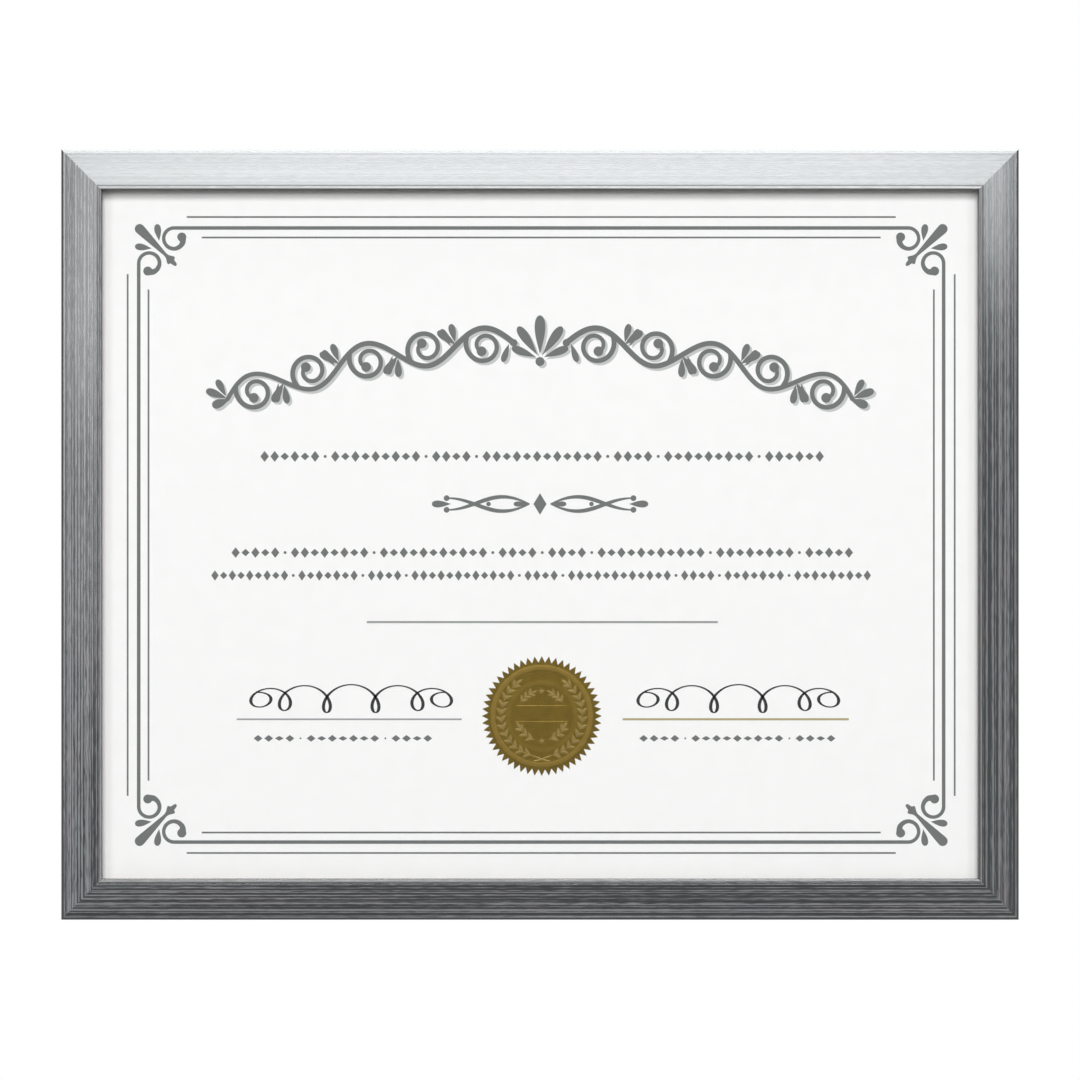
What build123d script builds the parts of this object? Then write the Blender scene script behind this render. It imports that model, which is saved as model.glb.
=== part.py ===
import os
from math import cos, radians, sin

from build123d import *

os.makedirs("parts", exist_ok=True)

# certificate sheet, 14 x 11 in
sheet_w = 355.6
sheet_h = 279.4
sheet_t = 0.3

# pack behind the lip
pane_t = 1.5
seal_air = 0.35  # space that the raised seal keeps between pane and sheet
filler_t = 2.3
board_t = 3.0

# moulding section, counted outwards from the sight edge
face_w = 16.5
frame_depth = 18.0
lip_cover = 3.8  # border of the sheet hidden by the lip at the sides
end_cover = 2.9  # the same at the top and bottom
lip_t = 3.0  # crest to the seat of the pane
rebate_gap = 0.8  # room beside the sheet in the rebate
outer_wall = 4.0  # wall that reaches back to the room's wall
bead_w = 1.35
bead_rise = 0.15
bead_set = 0.15  # foot of the bead behind the crest
valley_w = 0.2
valley_d = 0.05
shoulder_w = 0.2  # from the valley up to the crest
face_fall = 3.2  # how far the face slopes back
face_crown = 0.2
edge_w = 0.95  # bevel along the outer edge
edge_drop = 0.8

# foil seal, placed from the middle of the sheet
seal_x = 0.7
seal_z = -72.3
seal_r = 23.7
seal_teeth = 52
tooth_depth = 2.4
seal_t = 0.13
rim_r = 20.7
rim_w = 2.0
rim_t = 0.1

# mitre nails
v_leg = 3.0
v_half_angle = 40.0
v_t = 0.5
v_h = 5.0
v_inner_inset = 3.4  # from the rebate wall
v_outer_inset = 1.0  # from the outer wall

# turn buttons and their screws
button_x = 105.0
button_z = 75.0
button_r = 3.4
button_tip_r = 2.8
button_reach = 14.5  # pivot to tip
button_t = 1.0
button_play = 0.1
ridge_l = 4.6
ridge_w = 1.4
ridge_h = 0.5
screw_r = 1.25
screw_depth = 5.0
screw_head_r = 2.6
screw_head_h = 1.5
cross_l = 2.8
cross_w = 0.6
cross_d = 0.7
pivot_clear = 0.08

# sawtooth hangers and their nails
hanger_l = 44.0
hanger_h = 7.0
hanger_t = 0.7
hanger_margin = 0.4  # from the rebate wall
hanger_tab = 8.0
hanger_ramp = 2.0
hanger_lift = 1.7
notch_pitch = 3.0
notch_count = 7
notch_d = 1.2
notch_flat = 0.4
nail_r = 0.7
nail_depth = 4.5
nail_head_r = 1.7
nail_head_h = 0.7

# easel leg and its hinge
hinge_h = 180.0  # axis above the frame's lower edge
leg_open = 25.0
leg_t = 2.5
leg_gap = 0.3
leg_top_w = 40.0
leg_foot_w = 76.0
leg_corner = 4.0
foot_gap = 0.8
arch_w = 42.0
arch_h = 7.0
hinge_w = 38.0
middle_w = 14.0
knuckle_gap = 0.3
knuckle_clear = 0.2
knuckle_set = 1.1  # moving leaf's middle behind the axis
leaf_t = 0.8
leaf_h = 20.0
leaf_corner = 2.5
pin_r = 0.9
stop_clear = 0.1
rivet_x = 13.0
rivet_h = 13.0  # rows from the hinge axis
rivet_r = 1.2
rivet_head_r = 2.3
rivet_head_h = 0.9

fit = 0.05  # shank in its hole, no motion

# opening and levels: the wall is at y = 0, the wall nail's seat in the top hanger at z = 0
sight_w = sheet_w - 2 * lip_cover
sight_h = sheet_h - 2 * end_cover
half_w = sight_w / 2
half_h = sight_h / 2
rebate_w = lip_cover + rebate_gap
shelf_end = face_w - outer_wall
hanger_u = rebate_w + hanger_margin
centre_z = -(half_h + hanger_u + notch_d)
y_front = -frame_depth
y_seat = y_front + lip_t
y_sheet = y_seat + pane_t + seal_air
y_filler = y_sheet + sheet_t
y_board = y_filler + filler_t
y_shelf = y_board + board_t

rear = Vector(0, 1, 0)
centre = Vector(0, 0, centre_z)
up, down, left, right = Vector(0, 0, 1), Vector(0, 0, -1), Vector(-1, 0, 0), Vector(1, 0, 0)

# fastener places on the shelf, from the middle of the opening
pivot_u = (rebate_w + shelf_end) / 2
buttons = {
    "turn_button_top_left": (-button_x, half_h + pivot_u, down),
    "turn_button_top_right": (button_x, half_h + pivot_u, down),
    "turn_button_bottom_left": (-button_x, -half_h - pivot_u, up),
    "turn_button_bottom_right": (button_x, -half_h - pivot_u, up),
    "turn_button_left_upper": (-half_w - pivot_u, button_z, right),
    "turn_button_left_lower": (-half_w - pivot_u, -button_z, right),
    "turn_button_right_upper": (half_w + pivot_u, button_z, left),
    "turn_button_right_lower": (half_w + pivot_u, -button_z, left),
}
pivots = [(x, z) for x, z, _ in buttons.values()]
nail_x = (hanger_l - hanger_tab) / 2
nail_u = hanger_u + hanger_h / 2
nails = [
    (-nail_x, half_h + nail_u),
    (nail_x, half_h + nail_u),
    (-half_w - nail_u, -nail_x),
    (-half_w - nail_u, nail_x),
]


def layer(y):
    # plane across the frame: x to the right, y up, facing the front
    return Plane(origin=(0, y, centre_z), x_dir=(1, 0, 0), z_dir=(0, -1, 0))


def save(piece, name):
    piece.part.label = name
    export_step(piece.part, f"parts/{name}.step")


# mitre nails seen from the front, two across each mitre
v_x = v_leg * cos(radians(v_half_angle))
v_y = v_leg * sin(radians(v_half_angle))
v_back = v_t / sin(radians(v_half_angle))
v_shape = [(0, 0), (-v_x, v_y), (-v_x - v_back, v_y), (-v_back, 0), (-v_x - v_back, -v_y), (-v_x, -v_y)]
with BuildSketch() as v_outlines:
    for sx, sz, turn in ((1, 1, 45), (-1, 1, 135), (-1, -1, 225), (1, -1, 315)):
        for u in (rebate_w + v_inner_inset, shelf_end - v_outer_inset):
            with Locations(Location((sx * (half_w + u), sz * (half_h + u), 0), (0, 0, turn))):
                Polygon(*v_shape, align=None)

# moulding section: x outwards from the sight edge, y towards the rear
bead_y = y_front + bead_set
crest_u = bead_w + valley_w + shoulder_w
edge_u = face_w - edge_w
edge_y = y_front + face_fall
face_l = ((edge_u - crest_u) ** 2 + face_fall**2) ** 0.5
crown_u = (crest_u + edge_u) / 2 + face_crown * face_fall / face_l
crown_y = (y_front + edge_y) / 2 - face_crown * (edge_u - crest_u) / face_l

with BuildSketch() as section:
    with BuildLine():
        Polyline(
            (face_w, edge_y + edge_drop),
            (face_w, 0),
            (shelf_end, 0),
            (shelf_end, y_shelf),
            (rebate_w, y_shelf),
            (rebate_w, y_seat),
            (0, y_seat),
            (0, bead_y),
        )
        ThreePointArc((0, bead_y), (bead_w / 2, bead_y - bead_rise), (bead_w, bead_y))
        Polyline((bead_w, bead_y), (bead_w + valley_w, bead_y + valley_d), (crest_u, y_front))
        ThreePointArc((crest_u, y_front), (crown_u, crown_y), (edge_u, edge_y))
        Line((edge_u, edge_y), (face_w, edge_y + edge_drop))
    make_face()

# four rails, mitred, with their fastener holes
for name, out, reach, run in (
    ("rail_top", up, half_h, half_w),
    ("rail_bottom", down, half_h, half_w),
    ("rail_left", left, half_w, half_h),
    ("rail_right", right, half_w, half_h),
):
    along = out.cross(rear)
    with BuildPart() as rail:
        with BuildSketch(Plane(origin=centre + out * reach, x_dir=out, z_dir=along)):
            add(section.sketch)
        extrude(amount=run + face_w, both=True)
        for way in (1, -1):
            corner = centre + out * reach + along * (way * run)
            split(bisect_by=Plane(origin=corner, z_dir=along * way - out), keep=Keep.BOTTOM)
        with BuildSketch(layer(y_shelf)):
            add(v_outlines.sketch)
        extrude(amount=v_h, mode=Mode.SUBTRACT)
        with BuildSketch(layer(y_shelf)):
            with Locations(*pivots):
                Circle(screw_r + fit)
        extrude(amount=screw_depth, mode=Mode.SUBTRACT)
        with BuildSketch(layer(y_shelf)):
            with Locations(*nails):
                Circle(nail_r + fit)
        extrude(amount=nail_depth, mode=Mode.SUBTRACT)
    save(rail, name)

# nails across the mitres, flush with the shelf
with BuildPart() as v_nails:
    with BuildSketch(layer(y_shelf)):
        add(v_outlines.sketch)
    extrude(amount=v_h)
save(v_nails, "corner_v_nails")

# pack: pane, certificate, filler card
for name, y_back, thickness in (
    ("pane", y_seat + pane_t, pane_t),
    ("certificate", y_filler, sheet_t),
    ("filler_card", y_board, filler_t),
):
    with BuildPart() as sheet:
        with BuildSketch(layer(y_back)):
            Rectangle(sheet_w, sheet_h)
        extrude(amount=thickness)
    save(sheet, name)

# foil seal with a toothed edge and a raised rim
with BuildPart() as seal:
    with BuildSketch(layer(y_sheet)):
        edge = []
        for k in range(2 * seal_teeth):
            r = seal_r - tooth_depth * (k % 2)
            angle = radians(180 * k / seal_teeth)
            edge.append((r * sin(angle), r * cos(angle)))
        with Locations((seal_x, seal_z)):
            Polygon(*edge, align=None)
    extrude(amount=seal_t)
    with BuildSketch(layer(y_sheet - seal_t)):
        with Locations((seal_x, seal_z)):
            Circle(rim_r)
            Circle(rim_r - rim_w, mode=Mode.SUBTRACT)
    extrude(amount=rim_t)
save(seal, "foil_seal")

# turn buttons, resting with the arm over the backing board
y_button = y_shelf + button_play
for name, (x, z, arm) in buttons.items():
    seat = Plane(origin=(x, y_button, centre_z + z), x_dir=arm, z_dir=rear)
    with BuildPart() as button:
        with BuildSketch(seat):
            Circle(button_r)
            with Locations((button_reach - button_tip_r, 0)):
                Circle(button_tip_r)
            make_hull()
            Circle(screw_r + pivot_clear, mode=Mode.SUBTRACT)
        extrude(amount=button_t)
        with BuildSketch(seat.offset(button_t)):
            with Locations((button_reach - button_tip_r - ridge_l / 2, 0)):
                SlotOverall(ridge_l, ridge_w)
        extrude(amount=ridge_h)
        fillet(button.faces().sort_by(Axis.Y)[-1].edges(), ridge_h / 2)
    save(button, name)

# pan-head screws of the turn buttons
y_head = y_button + button_t + button_play
with BuildPart() as screws:
    with BuildSketch(layer(y_head)):
        with Locations(*pivots):
            Circle(screw_r)
    extrude(amount=y_head - y_shelf + screw_depth)
    with BuildSketch(layer(y_head)):
        with Locations(*pivots):
            Circle(screw_head_r)
    extrude(amount=-screw_head_h)
    fillet(screws.faces().group_by(Axis.Y)[-1].edges(), screw_head_h / 2)
    with BuildSketch(layer(y_head + screw_head_h)):
        with Locations(*pivots):
            Rectangle(cross_l, cross_w)
            Rectangle(cross_w, cross_l)
    extrude(amount=cross_d, mode=Mode.SUBTRACT)
save(screws, "turn_button_screws")

# sawtooth hangers on the shelf, for landscape and for portrait
middle = hanger_l / 2 - hanger_tab - hanger_ramp
strip = [(-hanger_l / 2, 0), (-middle - hanger_ramp, 0), (-middle, hanger_lift)]
strip += [(-x, y) for x, y in reversed(strip)]
strip += [(x, y + hanger_t) for x, y in reversed(strip)]
for name, out, reach in (("hanger_top", up, half_h), ("hanger_side", left, half_w)):
    along = out.cross(rear)
    toothed = centre + out * (reach + hanger_u) + rear * y_shelf
    flat = Plane(origin=toothed, x_dir=along, z_dir=rear)
    with BuildPart() as hanger:
        with BuildSketch(Plane(origin=toothed, x_dir=along, z_dir=-out)):
            Polygon(*strip, align=None)
        extrude(amount=-hanger_h)
        with BuildSketch(flat):
            with GridLocations(notch_pitch, 1, notch_count, 1):
                half = (notch_pitch - notch_flat) / 2
                Polygon((-half, 0), (half, 0), (0, notch_d), align=None)
        extrude(amount=hanger_lift + hanger_t, mode=Mode.SUBTRACT)
        with BuildSketch(flat):
            with Locations((-nail_x, hanger_h / 2), (nail_x, hanger_h / 2)):
                Circle(nail_r + fit)
        extrude(amount=hanger_t, mode=Mode.SUBTRACT)
    save(hanger, name)

with BuildPart() as hanger_nails:
    with BuildSketch(layer(y_shelf + hanger_t)):
        with Locations(*nails):
            Circle(nail_r)
    extrude(amount=hanger_t + nail_depth)
    with BuildSketch(layer(y_shelf + hanger_t)):
        with Locations(*nails):
            Circle(nail_head_r)
    extrude(amount=-nail_head_h)
    fillet(hanger_nails.faces().group_by(Axis.Y)[-1].edges(), nail_head_h / 2)
save(hanger_nails, "hanger_nails")

# easel: levels behind the board and heights from the middle of the frame
axis_off = leg_gap + leg_t + leaf_t / 2 - knuckle_set
knuckle_r = axis_off - knuckle_clear
y_axis = y_shelf + axis_off
y_leg = y_shelf + leg_gap
y_moving = y_leg + leg_t
axis_z = hinge_h - half_h - face_w
foot_z = outer_wall + foot_gap - half_h - face_w
leg_top = axis_z - knuckle_r - knuckle_gap
outer_w = (hinge_w - middle_w) / 2 - knuckle_gap
outer_x = (middle_w + outer_w) / 2 + knuckle_gap
fixed_rivets = [(-rivet_x, axis_z + rivet_h), (rivet_x, axis_z + rivet_h)]
moving_rivets = [(-rivet_x, axis_z - rivet_h), (rivet_x, axis_z - rivet_h)]
swing = radians(leg_open)
leaf_front = y_moving - y_axis
leaf_room = axis_off - leaf_t
tongue_h = (leaf_front * cos(swing) + leaf_room - stop_clear) / sin(swing)

with BuildPart() as board:
    with BuildSketch(layer(y_shelf)):
        Rectangle(sheet_w, sheet_h)
        with Locations(*fixed_rivets):
            Circle(rivet_r + fit, mode=Mode.SUBTRACT)
    extrude(amount=board_t)
save(board, "backing_board")

with BuildPart() as leg:
    with BuildSketch(layer(y_moving)) as leg_outline:
        Polygon(
            (-leg_top_w / 2, leg_top),
            (leg_top_w / 2, leg_top),
            (leg_foot_w / 2, foot_z),
            (-leg_foot_w / 2, foot_z),
            align=None,
        )
        fillet(leg_outline.vertices(), leg_corner)
        arch_r = arch_w**2 / (8 * arch_h) + arch_h / 2
        with Locations((0, foot_z + arch_h - arch_r)):
            Circle(arch_r, mode=Mode.SUBTRACT)
        with Locations(*moving_rivets):
            Circle(rivet_r + fit, mode=Mode.SUBTRACT)
    extrude(amount=leg_t)
save(leg, "easel_leg")

# hinge leaves: a plate with two outer knuckles, and one with the middle knuckle and a stop tongue
axis_plane = Plane(origin=centre + up * axis_z + rear * y_axis, x_dir=rear, z_dir=right)
plate_z = knuckle_r + knuckle_gap
with BuildPart() as fixed_leaf:
    with BuildSketch(layer(y_shelf + leaf_t)) as plate:
        with Locations((0, axis_z + (leaf_h + plate_z) / 2)):
            RectangleRounded(hinge_w, leaf_h - plate_z, leaf_corner)
        with Locations((-outer_x, axis_z + leaf_h / 4), (outer_x, axis_z + leaf_h / 4)):
            Rectangle(outer_w, leaf_h / 2)
        with Locations(*fixed_rivets):
            Circle(rivet_r + fit, mode=Mode.SUBTRACT)
    extrude(amount=leaf_t)
    for x in (-outer_x, outer_x):
        with BuildSketch(axis_plane.offset(x)):
            Circle(knuckle_r)
        extrude(amount=outer_w / 2, both=True)
    with BuildSketch(axis_plane):
        Circle(pin_r + fit)
    extrude(amount=hinge_w, both=True, mode=Mode.SUBTRACT)
save(fixed_leaf, "hinge_fixed_leaf")

with BuildPart() as moving_leaf:
    with BuildSketch(layer(y_moving + leaf_t)):
        with Locations((0, axis_z - (leaf_h + plate_z) / 2)):
            RectangleRounded(hinge_w, leaf_h - plate_z, leaf_corner)
        with Locations((0, axis_z + (tongue_h - leaf_h / 2) / 2)):
            Rectangle(middle_w, tongue_h + leaf_h / 2)
        with Locations(*moving_rivets):
            Circle(rivet_r + fit, mode=Mode.SUBTRACT)
    extrude(amount=leaf_t)
    with BuildSketch(axis_plane):
        Circle(knuckle_r)
    extrude(amount=middle_w / 2, both=True)
    with BuildSketch(axis_plane):
        Circle(pin_r + pivot_clear)
    extrude(amount=hinge_w, both=True, mode=Mode.SUBTRACT)
save(moving_leaf, "hinge_moving_leaf")

with BuildPart() as pin:
    with BuildSketch(axis_plane):
        Circle(pin_r)
    extrude(amount=hinge_w / 2, both=True)
    chamfer(pin.faces().filter_by(GeomType.PLANE).edges(), pin_r / 4)
save(pin, "hinge_pin")

# rivets, domed at the rear and flush at the front
for name, y_leaf, spots, grip in (
    ("fixed_leaf_rivets", y_shelf + leaf_t, fixed_rivets, leaf_t + board_t),
    ("moving_leaf_rivets", y_moving + leaf_t, moving_rivets, leaf_t + leg_t),
):
    with BuildPart() as rivets:
        with BuildSketch(layer(y_leaf)):
            with Locations(*spots):
                Circle(rivet_r)
        extrude(amount=grip)
        with BuildSketch(layer(y_leaf)):
            with Locations(*spots):
                Circle(rivet_head_r)
        extrude(amount=-rivet_head_h)
        fillet(rivets.faces().group_by(Axis.Y)[-1].edges(), rivet_head_h * 0.8)
    save(rivets, name)
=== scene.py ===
import bpy
import bmesh
from itertools import cycle
from math import atan2, cos, hypot, pi, radians, sin
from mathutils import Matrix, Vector


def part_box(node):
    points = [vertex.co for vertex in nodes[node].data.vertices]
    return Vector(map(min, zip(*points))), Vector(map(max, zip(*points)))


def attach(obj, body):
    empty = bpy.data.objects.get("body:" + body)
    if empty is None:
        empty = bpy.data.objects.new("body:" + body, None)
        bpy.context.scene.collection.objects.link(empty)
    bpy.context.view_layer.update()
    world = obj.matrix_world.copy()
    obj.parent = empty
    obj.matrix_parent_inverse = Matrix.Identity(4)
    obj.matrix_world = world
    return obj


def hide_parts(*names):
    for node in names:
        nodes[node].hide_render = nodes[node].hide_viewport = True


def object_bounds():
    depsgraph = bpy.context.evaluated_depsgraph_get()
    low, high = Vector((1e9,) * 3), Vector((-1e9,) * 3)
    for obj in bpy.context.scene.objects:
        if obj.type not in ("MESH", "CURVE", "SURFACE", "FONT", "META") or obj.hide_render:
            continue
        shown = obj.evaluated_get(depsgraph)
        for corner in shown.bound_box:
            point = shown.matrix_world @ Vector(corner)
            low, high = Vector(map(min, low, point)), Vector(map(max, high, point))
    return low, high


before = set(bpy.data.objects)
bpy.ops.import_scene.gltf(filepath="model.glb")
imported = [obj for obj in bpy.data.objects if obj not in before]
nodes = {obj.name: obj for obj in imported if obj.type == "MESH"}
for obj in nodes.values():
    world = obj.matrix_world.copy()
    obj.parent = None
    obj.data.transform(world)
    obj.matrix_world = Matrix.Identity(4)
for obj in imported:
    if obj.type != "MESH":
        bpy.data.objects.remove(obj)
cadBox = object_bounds()
print("frame loaded,", len(nodes), "nodes")

mm = 0.001
sheetLow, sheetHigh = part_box("certificate")
midX = (sheetLow.x + sheetHigh.x) / 2
midZ = (sheetLow.z + sheetHigh.z) / 2
paperY = sheetLow.y  # printed side
outerW = cadBox[1].x - cadBox[0].x
outerH = cadBox[1].z - cadBox[0].z


def addObject(name, data):
    added = bpy.data.objects.new(name, data)
    bpy.context.scene.collection.objects.link(added)
    return added


# camera straight in front, a little under the middle
shot = {
    "distance": 1.0,
    "drop": 2.2 * mm,
    "fieldWidth": 429.8 * mm,
    "edgePlane": -14.0 * mm,
    "sensor": 36,
    "clipStart": 0.05,
}
camera = addObject("camera", bpy.data.cameras.new("camera"))
camera.location = (midX, shot["edgePlane"] - shot["distance"], midZ - shot["drop"])
camera.rotation_euler = (radians(90), 0, 0)
camera.data.sensor_width = shot["sensor"]
camera.data.lens = shot["sensor"] * shot["distance"] / shot["fieldWidth"]
camera.data.clip_start = shot["clipStart"]
bpy.context.scene.camera = camera
bpy.context.scene.view_settings.view_transform = "Standard"


# shader helpers
def feed(tree, value, socket):
    if isinstance(value, bpy.types.NodeSocket):
        tree.links.new(value, socket)
    else:
        socket.default_value = value


def calc(tree, how, a, b=0.0):
    node = tree.nodes.new("ShaderNodeMath")
    node.operation = how
    feed(tree, a, node.inputs[0])
    feed(tree, b, node.inputs[1])
    return node.outputs[0]


def fade(tree, value, low, high, toLow=0.0, toHigh=1.0):
    node = tree.nodes.new("ShaderNodeMapRange")
    for socket, number in zip(node.inputs, (value, low, high, toLow, toHigh)):
        feed(tree, number, socket)
    return node.outputs[0]


def mixColour(tree, amount, a, b, how="MIX"):
    node = tree.nodes.new("ShaderNodeMix")
    node.data_type = "RGBA"
    node.blend_type = how
    feed(tree, amount, node.inputs[0])
    feed(tree, a, node.inputs[6])  # the colour sockets
    feed(tree, b, node.inputs[7])
    return node.outputs[2]


def vectorCalc(tree, how, a, b):
    node = tree.nodes.new("ShaderNodeVectorMath")
    node.operation = how
    feed(tree, a, node.inputs[0])
    feed(tree, b, node.inputs[1])
    return node.outputs[0]


def split(tree, vector):
    node = tree.nodes.new("ShaderNodeSeparateXYZ")
    feed(tree, vector, node.inputs[0])
    return node.outputs


def grains(tree, vector, scale=1.0, detail=2.0, rough=0.5):
    node = tree.nodes.new("ShaderNodeTexNoise")
    feed(tree, vector, node.inputs["Vector"])
    feed(tree, scale, node.inputs["Scale"])
    feed(tree, detail, node.inputs["Detail"])
    feed(tree, rough, node.inputs["Roughness"])
    return node.outputs[0]


def ramp(tree, value, stops):
    node = tree.nodes.new("ShaderNodeValToRGB")
    marks = node.color_ramp.elements
    while len(marks) < len(stops):
        marks.new(0.5)
    for mark, (place, colour) in zip(marks, stops):
        mark.position = place
        mark.color = (*colour, 1)
    feed(tree, value, node.inputs[0])
    return node.outputs[0]


def bumped(tree, height, strength, distance):
    node = tree.nodes.new("ShaderNodeBump")
    feed(tree, strength, node.inputs["Strength"])
    feed(tree, distance, node.inputs["Distance"])
    feed(tree, height, node.inputs["Height"])
    return node.outputs[0]


def newGroup(name, inputs, outputs):
    tree = bpy.data.node_groups.new(name, "ShaderNodeTree")
    for label, kind in inputs:
        tree.interface.new_socket(label, in_out="INPUT", socket_type=kind)
    for label in outputs:
        tree.interface.new_socket(label, in_out="OUTPUT", socket_type="NodeSocketFloat")
    return tree, tree.nodes.new("NodeGroupInput").outputs, tree.nodes.new("NodeGroupOutput").inputs


def placed(tree, group, **values):
    node = tree.nodes.new("ShaderNodeGroup")
    node.node_tree = group
    for label, value in values.items():
        feed(tree, value, node.inputs[label])
    return node.outputs


def newMaterial(name, **values):
    material = bpy.data.materials.new(name)
    material.use_nodes = True
    tree = material.node_tree
    shader = tree.nodes["Principled BSDF"]
    for label, value in values.items():
        shader.inputs[label].default_value = value
    place = tree.nodes.new("ShaderNodeTexCoord").outputs["Object"]
    return material, tree, shader, place


def mixShaders(tree, amount, first, second, output):
    node = tree.nodes.new("ShaderNodeMixShader")
    feed(tree, amount, node.inputs[0])
    tree.links.new(first.outputs[0], node.inputs[1])
    tree.links.new(second.outputs[0], node.inputs[2])
    tree.links.new(node.outputs[0], output.inputs[0])


def dress(material, *names):
    for name in names:
        nodes[name].data.materials.clear()
        nodes[name].data.materials.append(material)


# combed grain along the first axis of the vector
grainLook = {
    "streaks": {  # noise scale along the grain, then across it
        "long": (2, 2000, 2000),
        "middle": (3, 800, 800),
        "short": (150, 2400, 2400),
        "pore": (170, 2300, 2300),
    },
    "weights": {"long": 0.6, "middle": 0.2, "short": 0.2},
    "toneFade": (0.45, 0.55),
    "poreFade": (0.58, 0.72),
    "patch": (22, 110, 110),
    "patchFade": (0.35, 0.65),
}
brushedGrain, given, made = newGroup(
    "brushedGrain",
    [("Vector", "NodeSocketVector"), ("Seed", "NodeSocketVector")],
    ["Tone", "Pores", "Patches"],
)
spot = vectorCalc(brushedGrain, "ADD", given["Vector"], given["Seed"])


def combed(size):
    return grains(brushedGrain, vectorCalc(brushedGrain, "MULTIPLY", spot, size), detail=1.0)


streaks = {name: combed(size) for name, size in grainLook["streaks"].items()}
tone = 0.0
for name, weight in grainLook["weights"].items():
    tone = calc(brushedGrain, "ADD", tone, calc(brushedGrain, "MULTIPLY", streaks[name], weight))
feed(brushedGrain, fade(brushedGrain, tone, *grainLook["toneFade"]), made["Tone"])
feed(brushedGrain, fade(brushedGrain, streaks["pore"], *grainLook["poreFade"]), made["Pores"])
patches = combed(grainLook["patch"])
feed(brushedGrain, fade(brushedGrain, patches, *grainLook["patchFade"]), made["Patches"])

# felted fibres of paper, card and boards
feltLook = {"detail": 4.0, "rough": 0.65, "cloudScale": 0.06, "cloudDetail": 3.0, "fade": (0.3, 0.7)}
fibreMat, given, made = newGroup(
    "fibreMat", [("Vector", "NodeSocketVector"), ("Scale", "NodeSocketFloat")], ["Fibre", "Cloud"]
)
fibre = grains(fibreMat, given["Vector"], given["Scale"], feltLook["detail"], feltLook["rough"])
feed(fibreMat, fade(fibreMat, fibre, *feltLook["fade"]), made["Fibre"])
cloudScale = calc(fibreMat, "MULTIPLY", given["Scale"], feltLook["cloudScale"])
cloud = grains(fibreMat, given["Vector"], cloudScale, feltLook["cloudDetail"])
feed(fibreMat, fade(fibreMat, cloud, *feltLook["fade"]), made["Cloud"])

# rubbed streaks and dull blotches of bare metal
rubLook = {
    "streak": (300, 4000, 4000),
    "streakDetail": 3.0,
    "blotchScale": 420.0,
    "blotchDetail": 4.0,
    "blotchRough": 0.6,
}
metalRub, given, made = newGroup("metalRub", [("Vector", "NodeSocketVector")], ["Streak", "Blotch"])
drawn = vectorCalc(metalRub, "MULTIPLY", given["Vector"], rubLook["streak"])
feed(metalRub, grains(metalRub, drawn, detail=rubLook["streakDetail"]), made["Streak"])
blotch = grains(
    metalRub, given["Vector"], rubLook["blotchScale"], rubLook["blotchDetail"], rubLook["blotchRough"]
)
feed(metalRub, blotch, made["Blotch"])

# grey wood-grain foil on the rails, with painted pale lines near the outer edge (wear and painted
# reflection) and on the bead (painted highlight), painted shade lines, bare board behind
moulding = {
    "tones": [
        (0.0, (0.004, 0.0043, 0.0046)),
        (0.4, (0.036, 0.037, 0.038)),
        (0.6, (0.1, 0.102, 0.104)),
        (1.0, (0.24, 0.244, 0.248)),
    ],
    "pore": (0.006, 0.006, 0.007, 1),
    "poreDepth": 0.6,
    "coolTint": (0.86, 0.9, 0.92, 1),
    "warmTint": (1.0, 0.95, 1.0, 1),
    # pale line near the outer edge: partly worn foil, partly a painted reflection of the rounding that
    # turns away
    "rubbedSheen": (0.27, 0.275, 0.28, 1),
    # dark colour of the painted shade lines
    "shade": (0.006, 0.0062, 0.0068, 1),
    "shadeDepth": 0.95,
    "rubbedSheenLines": [(1.35 * mm, 0.4 * mm)],  # middle from the outer edge, half width
    "beadHighlightLines": [(15.86 * mm, 0.6 * mm)],
    # painted shade on the outer rounding and in the valley beside the bead, and a dark line 2.1 mm in
    "shadeLines": [(0.45 * mm, 0.7 * mm), (2.1 * mm, 0.3 * mm), (15.0 * mm, 0.28 * mm)],
    "lineCore": 0.35,  # part of a line's half width at full strength
    "uneven": (0.0, 0.8, 0.25, 1.0),  # pale lines (wear, painted reflection and painted highlight) are weaker on dark grain
    "frontFade": (-13.2 * mm, -13.6 * mm),  # lines are on the front only
    "bareBoard": (0.4, 0.28, 0.18, 1),
    "bareDark": (0.24, 0.155, 0.095, 1),
    "bareScale": 1500.0,
    "bareFrom": -13.4 * mm,
    "bareDull": 0.5,
    "facesBack": 0.5,  # the normal's y over which a face is bare
    "facesIn": -0.02,
    "ior": 1.6,
    "gloss": (0.955, 0.998, 1.0, 1),
    "roughness": (0.15, 0.19),
    "bump": (0.03, 0.05 * mm),
    "flank": 0.3,  # the normal's y under which a face is an outer side
    "flankDull": 0.3,  # outer sides are less glossy than the face
}


def lineMask(tree, value, lines):
    # highest of the soft bands about each middle
    mask = 0.0
    for middle, half in lines:
        off = calc(tree, "ABSOLUTE", calc(tree, "SUBTRACT", value, middle))
        mask = calc(tree, "MAXIMUM", mask, fade(tree, off, half, half * moulding["lineCore"]))
    return mask


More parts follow.
